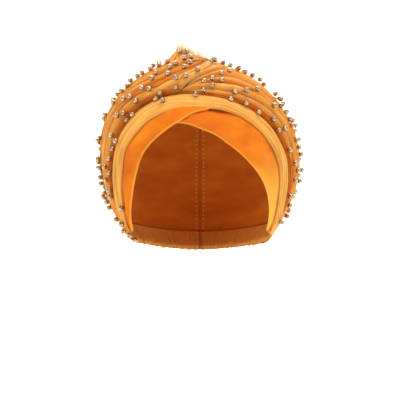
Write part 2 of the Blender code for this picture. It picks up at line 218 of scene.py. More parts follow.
def ellipsoid_reach(aim, centre, radii):
    """How far from MIDDLE an ellipsoid round it lies, along each direction."""
    start, step = (MIDDLE - centre) / radii, aim / radii
    a, b, c = (step * step).sum(-1), step @ start, start @ start - 1
    return (np.sqrt(b * b - a * c) - b) / a


def head_reach(aim):
    """How far from MIDDLE the inside of the cap lies, which is rounder below its widest."""
    reach = ellipsoid_reach(aim, HEAD_CENTRE, HEAD_RADII)
    below = ellipsoid_reach(aim, HEAD_CENTRE, np.array((*HEAD_RADII[:2], RADIUS_BELOW)))
    return np.where(MIDDLE[2] + aim[..., 2] * reach < HEAD_CENTRE[2], below, reach)


def above_head(aim, height):
    """The places at a height above the inside of the cap, along each direction."""
    return MIDDLE + aim * (head_reach(aim) + height)[..., None]


def brow(line, clock):
    """How far out from the middle one of the brow's lines lies, seen from the front."""
    return look_up(BROW_LINES, clock, BROW_COLUMNS.index(line))


def front_direction(clock, out):
    """Direction of the brow point seen from the front at a clock angle, out from the middle."""
    angle = np.radians(clock)
    x, z = out * np.sin(angle), out * np.cos(angle) + MIDDLE[2] - HEAD_CENTRE[2]
    tall = np.where(z > 0, HEAD_RADII[2], RADIUS_BELOW) + BROW_LEVEL
    flat = 1 - (x / (HEAD_RADII[0] + BROW_LEVEL)) ** 2 - (z / tall) ** 2
    y = -(HEAD_RADII[1] + BROW_LEVEL) * np.sqrt(np.maximum(flat, 0))
    return unit(np.stack((x, y, z), -1) + HEAD_CENTRE - MIDDLE)


def rim_direction(azimuth, lower=0.0):
    """Direction of the lower rim, at an azimuth from the front to the wearer's left."""
    up = np.radians(look_up(RIM_LINE, np.minimum(abs(azimuth), abs(azimuth - 360))) - lower)
    turn = np.radians(azimuth)
    return np.stack((np.cos(up) * np.sin(turn), -np.cos(up) * np.cos(turn), np.sin(up)), -1)


def along(path, share):
    """The directions at shares of the way along a path."""
    steps = np.linalg.norm(np.diff(path, axis=0), axis=1)
    marks = np.concatenate(((0,), np.cumsum(steps))) / steps.sum()
    return unit(np.stack([np.interp(share, marks, path[:, k]) for k in range(3)], -1))


def between(start, end, share):
    """Directions part of the way round from one to another."""
    angle = np.arccos(np.clip((start * end).sum(-1), -1, 1))[..., None]
    share = share[..., None]
    return (np.sin((1 - share) * angle) * start + np.sin(share * angle) * end) / np.sin(angle)


def lay_cloth(name, columns, rows, shape, finish, lift=0.0, least=None):
    """Cloth over a grid: shape gives a place in millimetres for each share across and along, and
    pleated cloth how near each place is to the crest of its pleat. A lift lays it that far
    outside the shape, and least is the height above the head that it always keeps."""
    grid = bmesh.new()
    grid.loops.layers.uv.new("weave")
    bmesh.ops.create_grid(grid, x_segments=columns, y_segments=rows, size=0.5, calc_uvs=True)
    crest_layer = grid.verts.layers.float.new("crest")
    flat = np.array([vertex.co[:2] for vertex in grid.verts]) + 0.5
    places = shape(flat[:, 0], flat[:, 1])
    places, crests = places if isinstance(places, tuple) else (places, np.ones(len(flat)))
    for vertex, place, crest in zip(grid.verts, places * MM, crests):
        vertex.co = place
        vertex[crest_layer] = crest
    bmesh.ops.remove_doubles(grid, verts=grid.verts, dist=MERGED_WITHIN * MM)
    grid.normal_update()
    middle = Vector(MIDDLE) * MM
    if sum(face.normal.dot(face.calc_center_median() - middle) for face in grid.faces) < 0:
        bmesh.ops.reverse_faces(grid, faces=grid.faces)
    grid.normal_update()
    for vertex in grid.verts if lift else ():
        vertex.co += vertex.normal * lift * MM
    if least is not None:
        away = np.array([vertex.co for vertex in grid.verts]) / MM - MIDDLE
        aim = unit(away)
        height = np.maximum(np.linalg.norm(away, axis=1) - head_reach(aim), least)
        for vertex, place in zip(grid.verts, above_head(aim, height) * MM):
            vertex.co = place
    return piece_from(grid, name, finish)


def wired(tree, kind, *values, **settings):
    """A new node's first output, with its settings made and its inputs wired or set in order."""
    node = tree.nodes.new(kind)
    for setting, value in settings.items():
        setattr(node, setting, value)
    for socket, value in zip(node.inputs, values):
        if isinstance(value, bpy.types.NodeSocket):
            tree.links.new(value, socket)
        else:
            socket.default_value = value
    return node.outputs[0]


def axes_of(tree, space):
    """Coordinates along each axis, in a piece's own space or in that of its weave."""
    split = tree.nodes.new("ShaderNodeSeparateXYZ")
    tree.links.new(tree.nodes.new("ShaderNodeTexCoord").outputs[space], split.inputs["Vector"])
    return split.outputs


def soft_noise(tree, scale, detail, stretch, uv):
    """A soft noise in a piece's own space, or along its weave."""
    space = tree.nodes.new("ShaderNodeTexCoord").outputs["UV" if uv else "Object"]
    stretched = wired(tree, "ShaderNodeMapping", space, (0, 0, 0), (0, 0, 0), stretch)
    return wired(tree, "ShaderNodeTexNoise", stretched, 0, scale, detail)


def mottle(shader, low, high, scale, detail, stretch=(1, 1, 1), uv=False):
    """Colours a finish between two tones by a soft noise, and gives the noise."""
    tree = shader.id_data
    noise = soft_noise(tree, scale, detail, stretch, uv)
    ramp = tree.nodes.new("ShaderNodeValToRGB")
    for stop, place, colour in zip(ramp.color_ramp.elements, MOTTLE_STOPS, (low, high)):
        stop.position, stop.color = place, (*colour, 1)
    tree.links.new(noise, ramp.inputs["Fac"])
    tree.links.new(ramp.outputs["Color"], shader.inputs["Base Color"])
    return noise


def blended(shader, mask, colour):
    """Mixes a colour into a finish where a mask is 1."""
    tree = shader.id_data
    mix = tree.nodes.new("ShaderNodeMix")
    mix.data_type = "RGBA"
    mix.inputs["B"].default_value = (*colour, 1)
    tree.links.new(mask, mix.inputs["Factor"])
    tree.links.new(shader.inputs["Base Color"].links[0].from_socket, mix.inputs["A"])
    tree.links.new(mix.outputs["Result"], shader.inputs["Base Color"])


def raised(shader, height, distance, strength=1.0):
    """Adds a relief of some millimetres to a finish, over what it has."""
    tree = shader.id_data
    before = [link.from_socket for link in shader.inputs["Normal"].links]
    bump = tree.nodes.new("ShaderNodeBump")
    bump.inputs["Strength"].default_value = strength
    bump.inputs["Distance"].default_value = distance * MM
    tree.links.new(height, bump.inputs["Height"])
    for socket in before:
        tree.links.new(socket, bump.inputs["Normal"])
    tree.links.new(bump.outputs["Normal"], shader.inputs["Normal"])


def roughen(shader, scale, strength, distance, stretch=(1, 1, 1), uv=False):
    """Gives a finish the fine relief of pile or gathers."""
    noise = soft_noise(shader.id_data, scale, RELIEF_DETAIL, stretch, uv)
    raised(shader, noise, distance, strength)


lining, lining_shader = finish_named("amber_jersey_back", 0.85, Specular_IOR_Level=0.15)
mottle(lining_shader, LINING_DEEP, LINING_BRIGHT, scale=30, detail=5, stretch=(1, 1, 2.5))
roughen(lining_shader, scale=1400, strength=0.3, distance=0.25, stretch=(1, 1, 0.3))
knit = lining.node_tree


def reckoned(operation, *values):
    """One step of the sums that place the lining's seams, stitches and tape."""
    return wired(knit, "ShaderNodeMath", *values, operation=operation)


x, y, z = axes_of(knit, "Object")
round_hem, towards_hem, _ = axes_of(knit, "UV")
gore = reckoned("MULTIPLY", reckoned("ARCTAN2", x, y), GORES / (2 * math.pi))
off_seam = reckoned("PINGPONG", gore, 0.5)
seam = wired(knit, "ShaderNodeMapRange", off_seam, 0, SEAM_WIDTH, 1, 0)
fold = wired(knit, "ShaderNodeMapRange", off_seam, 0, FOLD_WIDTH, 1, 0)
dashes = reckoned("GREATER_THAN", reckoned("SINE", reckoned("MULTIPLY", z, STITCH_TURNS)), 0)
stitches = reckoned("MULTIPLY", reckoned("COMPARE", off_seam, SEAM_WIDTH, THREAD_WIDTH), dashes)
tape = reckoned("COMPARE", towards_hem, 0.5 + TAPE_SHARE / 2, TAPE_SHARE / 2)
tape_edge = reckoned("COMPARE", towards_hem, 0.5 + TAPE_SHARE, TAPE_EDGE_SHARE)
ribs = reckoned("SINE", reckoned("MULTIPLY", round_hem, 2 * math.pi * TAPE_RIBS))
blended(lining_shader, reckoned("MULTIPLY", tape, TAPE_COVER), TAPE)
blended(lining_shader, fold, SEAM_FOLD)
blended(lining_shader, stitches, SEAM_THREAD)
blended(lining_shader, tape_edge, TAPE_EDGE)
raised(lining_shader, seam, SEAM_RELIEF)
raised(lining_shader, reckoned("MULTIPLY", ribs, tape), RIB_RELIEF)

hem_clocks = np.arange(-126, 127, 3)
panel_hems = np.minimum(brow("left_hem", hem_clocks), brow("right_hem", hem_clocks))
cap_border = np.concatenate(
    (
        front_direction(hem_clocks, panel_hems + HEM_OUTSIDE_PANELS),
        rim_direction(np.arange(60, 301, 3), lower=HEM_BELOW_RIM),
    )
)
for _ in range(BORDER_SMOOTHINGS):
    cap_border = unit(np.roll(cap_border, 1, 0) + 2 * cap_border + np.roll(cap_border, -1, 0))
cap_border = np.concatenate((cap_border, cap_border[:1]))


def cap_shape(round_head, down):
    """Over the crown outside, round the turned hem and back up inside."""
    edge = along(cap_border, round_head % 1)
    share = np.where(down <= 0.5, part_way(down, 0, 0.5), 1 - part_way(down, 0.5, 1))
    aim = between(STRAIGHT_UP + 0 * edge, edge, np.maximum(share, 1e-4))
    ripple = RIPPLE_HEIGHT * np.sin(round_head * CAP_RIPPLES * 2 * math.pi) * smooth(0.3, 1, share)
    hem = smooth(HEM_FROM, HEM_FULL, share)
    outside = CAP_THICK + HEM_OUT * hem * (share < HEM_EDGE) + ripple
    return above_head(aim, np.where(down <= 0.5, outside, -HEM_IN * hem))


cap = lay_cloth("velvet_cap", 144, 96, cap_shape, lining)
shell = bmesh.new()
shell.from_mesh(cap.data)
bmesh.ops.recalc_face_normals(shell, faces=shell.faces)
shell.to_mesh(cap.data)
shell.free()
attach(cap, "root")
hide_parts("cap")


# BROW PANELS. Two bare velvet panels that cross above the brow, the left one on top. Each is
# cut double, turned along its lower edge to a rolled hem, and caught under the brow band.

PANEL_HEIGHT, PANEL_TUCK, LEAST_WIDTH = 4.1, 0.55, 1.5
HEM_SHARE, HEM_ROLL, HEM_HALF_TURNS = 0.14, 1.3, 0.8
PANEL_CROWN, CROWN_SHARE, HEM_SWELL = 1.1, 0.8, 0.5
LEFT_LIFT, LEFT_TIP_RISE = 2.3, 4
PAINTED_SHADOW_BESIDE_BAND = (-3.4, 0.4)

# Clock angles between which a panel lies, the left one lifts, its tip rises under the band, and the
# painted shadow beside the band begins.
RIGHT_PANEL_CLOCKS, LEFT_PANEL_CLOCKS = (-52, 130), (-130, 16)
LIFT_CLOCKS, RISE_CLOCKS, SHADOW_CLOCKS = (-88, -66), (4, 15), (-22, -38)

# A panel's slack waves: radians for each degree of clock and for its width, start and height.
PANEL_WAVES = ((0.23, 9, 0, 0.35), (0.11, -5, 1, 0.5))
RIGHT_PANEL_CUT = {"flat": (0.045, 0.24), "area": 0.0072}
LEFT_PANEL_CUT = {"flat": (0.035, 0.20), "area": 0.0050}
VELVET_DEEP, VELVET_BRIGHT = (0.58, 0.105, 0.002), (0.82, 0.220, 0.004)
# A painted sheen and hem highlight for the panels, and the colour of their painted shade.
VELVET_PAINTED_SHEEN, VELVET_SHADE = (0.88, 0.44, 0.055), (0.36, 0.062, 0.002)
VELVET_SHEEN = (1.0, 0.55, 0.10, 1)
CREASE_SHADE_CRESTS = (0.9, 0.25)
MOST_SHADED, MOST_PAINTED_SHEEN, MOST_HEM_HIGHLIGHT, MOST_BAND_SHADOW = 0.7, 0.85, 0.5, 0.8
PAINTED_HEM_HIGHLIGHT = (0.15, 0.07)


def panel_shape(hem, clocks, lifted):
    """A panel from inside its rolled hem up to where the band covers it. A painted shadow darkens
    it beside the band, but not where the left panel rises over the brow."""

    def shape(around, up):
        clock = clocks[0] + (clocks[1] - clocks[0]) * around
        high = brow("band_low", clock) * (1 - PANEL_TUCK) + brow("band_top", clock) * PANEL_TUCK
        low = brow(hem, clock) + (LEFT_TIP_RISE * smooth(*RISE_CLOCKS, clock) if lifted else 0)
        low = np.minimum(low, high - LEAST_WIDTH)
        curl = (1 - part_way(up, 0, HEM_SHARE)) * math.pi * HEM_HALF_TURNS
        share = part_way(up, HEM_SHARE, 1)
        out = low + (high - low) * share - HEM_ROLL * np.sin(curl)
        lift = LEFT_LIFT * smooth(*LIFT_CLOCKS, clock) if lifted else 0
        pull = sum(np.sin(clock * a + b * share + c) * tall for a, b, c, tall in PANEL_WAVES)
        crown = PANEL_CROWN * np.sin(np.minimum(share, CROWN_SHARE) / CROWN_SHARE * math.pi)
        crown = crown + HEM_SWELL * smooth(0.16, 0.04, share)
        height = PANEL_HEIGHT + lift + crown + pull * smooth(0, 0.3, share)
        height = height - HEM_ROLL * (1 - np.cos(curl))
        # Painted shadow of the band beside its lower edge, carried in the crest mask.
        band_shadow = smooth(*PAINTED_SHADOW_BESIDE_BAND, out - brow("band_low", clock))
        band_shadow = band_shadow * (smooth(*SHADOW_CLOCKS, clock) if lifted else 1)
        return above_head(front_direction(clock, out), height), 1 - band_shadow

    return shape


def crest_and_painted_shade(tree):
    """How near each place of a pleated cloth is to the crest of its pleat, lowered further where
    shade is painted in grooves and along edges.
    """
    crest = tree.nodes.new("ShaderNodeAttribute")
    crest.attribute_name = "crest"
    return crest.outputs["Fac"]


def fade_over(tree, value, start, stop, most):
    """0 where a value is at a start, and softly up to a most where it is at a stop."""
    soft = {"interpolation_type": "SMOOTHSTEP"}
    return wired(tree, "ShaderNodeMapRange", value, start, stop, 0, most, **soft)


def paint_crease_shade(shader, colour, most):
    """Paints shade into a finish towards the bottom of its pleats, and wherever its crest mask is
    lowered for painted shade.
    """
    tree = shader.id_data
    blended(shader, fade_over(tree, crest_and_painted_shade(tree), *CREASE_SHADE_CRESTS, most), colour)


def velvet_finish(name, painted_sheen, shaded):
    """Velvet with a painted sheen towards one end, a painted highlight along its hem, painted shade
    towards the other end and a painted shadow beside the band. Each end is given as the shares of
    the length between which it sets in."""
    made, shader = finish_named(
        name,
        0.75,
        Sheen_Weight=0.2,
        Sheen_Roughness=0.4,
        Sheen_Tint=VELVET_SHEEN,
        Specular_IOR_Level=0.15,
    )
    mottle(shader, VELVET_DEEP, VELVET_BRIGHT, scale=30, detail=7, stretch=(1, 1, 1.6))
    lengthwise, across, _ = axes_of(made.node_tree, "UV")
    # Painted shade towards one end, a painted sheen towards the other, and a painted highlight
    # along the hem.
    for axis, reach, most, colour in (
        (lengthwise, shaded, MOST_SHADED, VELVET_DEEP),
        (lengthwise, painted_sheen, MOST_PAINTED_SHEEN, VELVET_PAINTED_SHEEN),
        (across, PAINTED_HEM_HIGHLIGHT, MOST_HEM_HIGHLIGHT, VELVET_PAINTED_SHEEN),
    ):
        blended(shader, fade_over(made.node_tree, axis, *reach, most), colour)
    # Painted shade from the crest mask; on the panels this is the painted shadow beside the band.
    paint_crease_shade(shader, VELVET_SHADE, MOST_BAND_SHADOW)
    roughen(shader, scale=900, strength=0.3, distance=0.4)
    return made


right_velvet = velvet_finish("amber_velvet_right", painted_sheen=(0.66, 0.9), shaded=(0.62, 0.3))
left_velvet = velvet_finish("amber_velvet_left", painted_sheen=(1.2, 1.4), shaded=(-0.2, -0.4))
right_shape = panel_shape("right_hem", RIGHT_PANEL_CLOCKS, lifted=False)
left_shape = panel_shape("left_hem", LEFT_PANEL_CLOCKS, lifted=True)
right_panel = lay_cloth("velvet_right_panel", 260, 44, right_shape, right_velvet)
left_panel = lay_cloth("velvet_left_panel", 220, 44, left_shape, left_velvet)
for panel, node, cut in (
    (right_panel, "right_panel", RIGHT_PANEL_CUT),
    (left_panel, "left_panel", LEFT_PANEL_CUT),
):
    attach(panel, "root")
    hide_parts(node)


# BROW BAND. A folded band from foot to foot over the panels' upper edges, with a veil of net
# drawn over its velvet.

FOOT_CLOCK, FOLDS_END, FEET_FROM = 130, 110, 70
BAND_HEIGHT, BAND_ROLL_AT_BROW, BAND_ROLL_AT_FEET = 5.4, 4.5, 1.5
LOWER_FOLD, UPPER_FOLD, FOLD_SPREAD, FOLD_DRIFT = 0.36, 0.7, 0.05, 0.06
LOWER_AT_BROW, LOWER_AT_SIDES, SIDE_CLOCKS = 0.6, 1.4, (40, 75)
UPPER_DEPTH, UPPER_CHANGE = 1.0, 0.4
LEFT_LIFT_ENDS, BAND_WAVE, BAND_FOLD_SHADE = (18, 40), 0.25, 0.38
BAND_CURL_SHARE, BAND_CURL, BAND_TUCK, BAND_UNDER_VEIL = 0.1, 2.2, 4, 0.6
BAND_VEIL_LIFT = 0.8
BAND_CUT = {"flat": (0.045, 0.29), "area": 0.0100}
BAND_NET_CUT = {"flat": (0.050, 0.29), "area": 0.0110}
VEILED_DEEP, VEILED_BRIGHT = (0.66, 0.17, 0.014), (0.88, 0.31, 0.030)
VEILED_CREASE_SHADE, VEILED_SHEEN = (0.52, 0.085, 0.003), (1.0, 0.65, 0.25, 1)
BAND_COLOURS = ((1.0, 0.65, 0.18), (0.95, 0.50, 0.085))
NET_CREASE_SHADE = (0.66, 0.15, 0.012)
GATHERED, CREASE_THINNING_CRESTS, LEAST_COVER_IN_CREASES = (0.3, 0.72), (0.1, 0.9), 0.45
MOST_CREASE_SHADE = 0.9


def band_folds(clock, share):
    """How deep the creases between the band's folded layers are, in millimetres."""
    fold = share + FOLD_DRIFT * np.sin(clock * 0.045 + 1)
    lower = np.exp(-(((fold - LOWER_FOLD) / FOLD_SPREAD) ** 2))
    upper = np.exp(-(((fold - UPPER_FOLD) / FOLD_SPREAD) ** 2))
    lower = lower * (LOWER_AT_BROW + LOWER_AT_SIDES * smooth(*SIDE_CLOCKS, abs(clock)))
    upper = upper * (UPPER_DEPTH + UPPER_CHANGE * np.sin(clock * 0.07))
    return (lower + upper) * smooth(-FOOT_CLOCK, -FOLDS_END, -abs(clock))


def band_height(clock, share):
    """The band's roll above the head, less its folds."""
    lift = LEFT_LIFT * smooth(*LIFT_CLOCKS, clock) * (1 - smooth(*LEFT_LIFT_ENDS, clock))
    foot = smooth(FEET_FROM, FOOT_CLOCK, abs(clock))
    roll = BAND_ROLL_AT_BROW + (BAND_ROLL_AT_FEET - BAND_ROLL_AT_BROW) * foot
    wave = BAND_WAVE * np.sin(clock * 0.31 + share * 4) * np.sin(share * math.pi)
    hump = roll * np.sin(math.pi * np.clip(share, 0, 1)) ** 0.75
    return BAND_HEIGHT + lift + hump - band_folds(clock, share) + wave


def band_shape(around, up):
    """Across the band from its curled lower edge over the roll and down behind it."""
    clock = -FOOT_CLOCK + 2 * FOOT_CLOCK * around
    low, high = brow("band_low", clock), brow("band_top", clock)
    curl = 1 - part_way(up, 0, BAND_CURL_SHARE)
    share = part_way(up, BAND_CURL_SHARE, 1)
    share = share * 0.75 + 0.25 * smooth(0, 1, share)
    aim = front_direction(clock, low + (high - low) * share)
    height = band_height(clock, share) - BAND_UNDER_VEIL
    height = height - BAND_CURL * curl - BAND_TUCK * smooth(0.9, 1, up) ** 2
    # Painted shade in the creases between the band's folds, along its curled lower edge and at its
    # tucked upper edge.
    crest = (1 - BAND_FOLD_SHADE * band_folds(clock, share)) * smooth(0, 0.08, up)
    crest = crest * smooth(1, 0.93, up)
    return above_head(aim, height), crest


def net_finish(name, colours, cover, gathers, streak=9, crease=NET_CREASE_SHADE):
    """Sheer net of a pale and a deep colour, between its thinnest and thickest cover. Its gathers,
    fine streaks along the pleats, make it paler and denser. It thins towards its creases and has a
    darker colour painted into them, both painted shade."""
    made, shader = finish_named(name, 0.7, Specular_IOR_Level=0.08)
    tree, stretch, (pale, deep) = made.node_tree, (*gathers, 1), colours
    streaks = mottle(shader, deep, pale, scale=streak, detail=5, stretch=stretch, uv=True)
    dense = wired(tree, "ShaderNodeMapRange", streaks, *GATHERED, *cover)
    # Thinner towards the creases, which darkens them as painted shade.
    thinned_in_creases = wired(tree, "ShaderNodeMapRange", crest_and_painted_shade(tree), *CREASE_THINNING_CRESTS, LEAST_COVER_IN_CREASES, 1)
    both = wired(tree, "ShaderNodeMath", dense, thinned_in_creases, operation="MULTIPLY")
    tree.links.new(both, shader.inputs["Alpha"])
    paint_crease_shade(shader, crease, MOST_CREASE_SHADE)
    roughen(shader, scale=streak, strength=0.2, distance=0.3, stretch=stretch, uv=True)
    return made


veiled, veiled_shader = finish_named(
    "velvet_under_net",
    0.8,
    Sheen_Weight=0.2,
    Sheen_Roughness=0.4,
    Sheen_Tint=VEILED_SHEEN,
    Specular_IOR_Level=0.12,
)
mottle(veiled_shader, VEILED_DEEP, VEILED_BRIGHT, scale=36, detail=6, stretch=(1, 1, 1.4))
# Painted shade in the creases, in grooves and along edges, from the crest mask.
paint_crease_shade(veiled_shader, VEILED_CREASE_SHADE, MOST_CREASE_SHADE)
roughen(veiled_shader, scale=700, strength=0.25, distance=0.35)
band_net = net_finish("amber_net_on_band", BAND_COLOURS, cover=(0.4, 0.65), gathers=(1.3, 1.6))
band = lay_cloth("velvet_brow_band", 300, 40, band_shape, veiled)
band_veil = lay_cloth("net_brow_band", 300, 40, band_shape, band_net, BAND_VEIL_LIFT)
for piece, under, cut in (
    (band, ["velvet_left_panel", "velvet_right_panel"], BAND_CUT),
    (band_veil, ["velvet_brow_band"], BAND_NET_CUT),
):
    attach(piece, "root")
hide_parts("brow_band")


# RIGHT WRAP. Bias-cut velvet under net, pleated lengthwise. It comes out from under the left
# wrap above the brow, follows the band and is caught to the rim behind the wearer's left ear.

WOUND_CENTRE = np.array((0.7, 4, -67.5))
WOUND_RADII = np.array((91, 106, 90.5))
RIM_HEIGHT = 5.0
LEFT_SWELL = 5.0
SWELL_AXIS = np.array((-1.0, -0.1, 1.4)) / math.hypot(1.0, 0.1, 1.4)
TYPICAL_REACH = 90
TUFT_AXIS = np.array((-11, -3, 106)) / math.hypot(11, 3, 106)

# The crossing edge of the left wrap: headings round the tuft, and the spread away from it.
CROSSING_LINE = (
    (-30, 54.0),
    (-20, 44.5),
    (-8, 37.0),
    (5, 31.0),
    (20, 23.0),
    (35, 16.5),
    (60, 12.0),
    (75, 12.0),
    (90, 13.5),
    (103, 22.0),
    (112, 42.0),
    (118, 85.0),
    (120, 125.0),
)
CROSSING_FROM, CROSSING_END = -9, CROSSING_LINE[-1][0]
RIGHT_END_AZIMUTH = 120.0
TIP_CLOCK, TIP_WIDTH = -30, 3.5
GROOVE = 2.0
RIGHT_CREASES = (0, 0.075, 0.19, 0.38, 0.58, 0.79, 1)
RIGHT_SEED = 5
PLEAT_DEPTH, PLEAT_WANDER = 7.5, 0.32
LEAN, TALL, BLUNT, MINOR_PLEATS, MINOR_HEIGHT = (1.2, 1.9), (0.66, 1.0), (1.0, 1.6), 3, 0.07
RIGHT_CURL, RIGHT_TUCK, RIM_SHARE = 0.05, 0.88, 0.985
CURL_TURN = 2.2
TUCK_REACH, TUCK_DEPTH = 11, 5
RIGHT_CURL_OUT, RIGHT_CURL_DOWN = 1.6, 4.2
EDGE_HEIGHT, RIGHT_ROUNDING = 9.5, 17

# Heights of the cloth above the head from which pleats, tuck and curl have their full depth.
FULL_HEIGHTS = {"right pleats": 15, "left pleats": 16, "tuck": 16, "curl": 9}
RIGHT_BELOW_LEFT = 1.3
BELOW_NET, RIM_CLOTH = 1.8, 2.0
NET_LIFT, LOOSE_NET_LIFT = 1.0, 1.8
LOOSE_RELIEF, LOOSE_TUCK = 0.35, 0.05
OVER_CAP, OVER_VELVET = 2.3, 2.6
CROWN_COLOURS, CROWN_COVER = ((0.98, 0.54, 0.125), (0.92, 0.36, 0.045)), (0.55, 0.75)
HAZE_COLOURS, HAZE_COVER = ((1.0, 0.72, 0.32), (0.98, 0.62, 0.24)), (0.02, 0.10)


def cloth_height(aim):
    """The wound turban's height above the head, never less than its rim is thick."""
    wound = ellipsoid_reach(aim, WOUND_CENTRE, WOUND_RADII) - head_reach(aim)
    wound += LEFT_SWELL * np.maximum(0, aim @ SWELL_AXIS) ** 4 * smooth(3, 12, wound)
    return (wound + RIM_HEIGHT + np.hypot(wound - RIM_HEIGHT, 2)) / 2


def rounding(distance, reach):
    """0 at an edge, 1 at a reach from it, along a quarter circle."""
    return np.sqrt(1 - (1 - part_way(distance, 0, reach)) ** 2)


def fan_direction(heading, spread):
    """Direction at a heading round the tuft and a spread away from it."""
    side = unit(np.array((TUFT_AXIS[2], 0, -TUFT_AXIS[0])))
    front = np.cross(side, TUFT_AXIS)
    turn, away = np.radians(heading)[..., None], np.radians(spread)[..., None]
    across = front * np.cos(turn) + side * np.sin(turn)
    return TUFT_AXIS * np.cos(away) + across * np.sin(away)


def shifted(path, shift, pole):
    """A path moved sideways by a shift, towards a pole."""
    run = np.concatenate((path[1:], path[-1:])) - np.concatenate((path[:1], path[:-1]))
    side = unit(np.cross(path, run))
    side *= np.where((side * (pole - path)).sum(-1) > 0, 1, -1)[:, None]
    return unit(path + side * shift / TYPICAL_REACH)


def crossing_path(start, end):
    """Directions along the crossing edge and, from its rear end, on down to the rim."""
    headings = np.linspace(start, end, round(abs(end - start)) + 1)
    path = fan_direction(headings, look_up(CROSSING_LINE, headings))
    if end == CROSSING_END:
        foot = rim_direction(np.array((RIGHT_END_AZIMUTH,)))
        path = np.concatenate((path, unit(path[-1:] + foot), foot))
    return unit(path)


def band_top_path(start, end):
    """Directions along the groove above the brow band."""
    clocks = np.linspace(start, end, round(abs(end - start) / 2) + 1)
    path = front_direction(clocks, brow("band_top", clocks))
    return shifted(path, GROOVE, np.array((0, 1, 0)))


def pleats(creases, across, along_it, seed):
    """0 in a crease and 1 on the crest between two. Each pleat laps over the crease after it.
    Creases waver along the cloth, and crests differ in height."""
    random = np.random.default_rng(seed)
    creases = np.array(creases, float)
    phase = random.uniform(0, 2 * math.pi, (2, len(creases)))
    width = np.gradient(creases) * PLEAT_WANDER
    width[[0, -1]] = 0
    wander = 0.75 * np.sin(along_it[:, None] * 4 + phase[0])
    wander = wander + 0.25 * np.sin(along_it[:, None] * 10 + phase[1])
    lines = creases + width * wander
    i = np.clip((across[:, None] >= lines).sum(1) - 1, 0, len(creases) - 2)
    rows = np.arange(len(across))
    low, high = lines[rows, i], lines[rows, i + 1]
    t = np.clip((across - low) / np.maximum(high - low, 1e-6), 0, 1)
    lean = random.uniform(*LEAN, len(creases))[i]
    tall = random.uniform(*TALL, len(creases))[i]
    tall = tall + 0.16 * np.sin(along_it * 5 + phase[1][i])
    tall = tall + 0.06 * np.sin(along_it * 17 + phase[0][i])
    blunt = random.uniform(*BLUNT, len(creases))[i]
    minor = np.sin(t * MINOR_PLEATS * 2 * math.pi + phase[0][i] + along_it * 4)
    minor = minor * MINOR_HEIGHT * np.sin(math.pi * t)
    return tall * np.sin(math.pi * t**lean) ** blunt + minor


tip_clock = np.array((TIP_CLOCK,))
tip = front_direction(tip_clock, brow("band_top", tip_clock) + TIP_WIDTH)
right_low = band_top_path(TIP_CLOCK, FOOT_CLOCK)
right_high = np.concatenate((tip, crossing_path(CROSSING_FROM + 3, CROSSING_END)))


def right_wrap_shape(relief):
    """Across from the groove above the band, over the pleats and in under the left wrap. Velvet
    and the net on it have all of the relief and are tucked in deep. Loose net has less of both."""

    def shape(across, around):
        curl = (1 - part_way(across, 0, RIGHT_CURL)) * CURL_TURN
        share = part_way(across, RIGHT_CURL, RIGHT_TUCK)
        under = part_way(across, RIGHT_TUCK, 1) * (1 if relief == 1 else LOOSE_TUCK)
        u, rim = part_way(around, 0, RIM_SHARE), part_way(around, RIM_SHARE, 1)
        low, high = along(right_low, u), along(right_high, u)
        side = unit(high - low + 1e-9)
        push = under * TUCK_REACH - RIGHT_CURL_OUT * np.sin(curl)
        aim = unit(between(low, high, share) + side * push[:, None] / TYPICAL_REACH)
        full = cloth_height(aim)
        full = full - RIGHT_BELOW_LEFT * smooth(4, 14, full)
        distance = np.linalg.norm(aim - low, axis=1) * head_reach(aim)
        edge = np.minimum(full, EDGE_HEIGHT)
        height = edge + (full - edge) * rounding(distance, RIGHT_ROUNDING)
        depth = PLEAT_DEPTH * relief * np.minimum(1, height / FULL_HEIGHTS["right pleats"])
        crest = 1 + (pleats(RIGHT_CREASES, share, u, RIGHT_SEED) - 1) * smooth(0, 0.06, share)
        height = height + depth * (crest - 1)
        # Painted shade in the groove along the band and where the wrap tucks in under the left
        # wrap.
        crest = crest * smooth(-0.01, 0.045, share) * (1 - 0.7 * smooth(0.86, 0.97, share))
        height = height - under**1.5 * TUCK_DEPTH * np.minimum(1, height / FULL_HEIGHTS["tuck"])
        curled = np.minimum(1, height / FULL_HEIGHTS["curl"])
        height = height - RIGHT_CURL_DOWN * (1 - np.cos(curl)) * curled
        height = height * (0.62 + 0.38 * smooth(0.02, 0.14, u)) - BELOW_NET
        return above_head(aim, height + (RIM_CLOTH - height) * rim), crest

    return shape


wrap_net = net_finish("amber_net_on_wraps", CROWN_COLOURS, CROWN_COVER, gathers=(5, 1.0))
haze_net = net_finish("loose_amber_net", HAZE_COLOURS, HAZE_COVER, gathers=(5, 1.0))
right_cloth = [
    lay_cloth(name, *grid, right_wrap_shape(relief), finish, lift, least)
    for name, grid, relief, finish, lift, least in (
        ("velvet_right_wrap", (150, 210), 1, veiled, 0, OVER_CAP),
        ("net_right_wrap", (150, 210), 1, wrap_net, NET_LIFT, OVER_VELVET),
        ("loose_net_right", (90, 140), LOOSE_RELIEF, haze_net, LOOSE_NET_LIFT, OVER_VELVET),
    )
]
under = "velvet_cap"
for piece in right_cloth:
    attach(piece, "root")
    under = piece.name
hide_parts("right_wrap")


# LEFT WRAP. The longer wrap of the same cloth. Its pleats run from the rim at the left ear and
# nape over the crown to the tuft, and its front edge, a soft fold, crosses the right wrap.

LEFT_PLEATS, LEFT_SEED, LEFT_PLEAT_SEED = 30, 11, 23
LEFT_BEND = 0.45
GATHER_SPREAD = 12.0
CROSSING_CLOCK, CROSSING_NEAREST = -21, 75
LEFT_CURL, LEFT_GATHER = 0.02, 0.06
FRONT_CURL_OUT, FRONT_CURL_DOWN = 1.7, 3.6
REAR_CURL_OUT, REAR_CURL_DOWN = 1.4, 3.0
LEFT_ROUNDING, ROUNDING_BY_BAND = 6, 10
GATHER_RISE, FLUTES, FLUTE_HEIGHT = 7, 13, 0.8

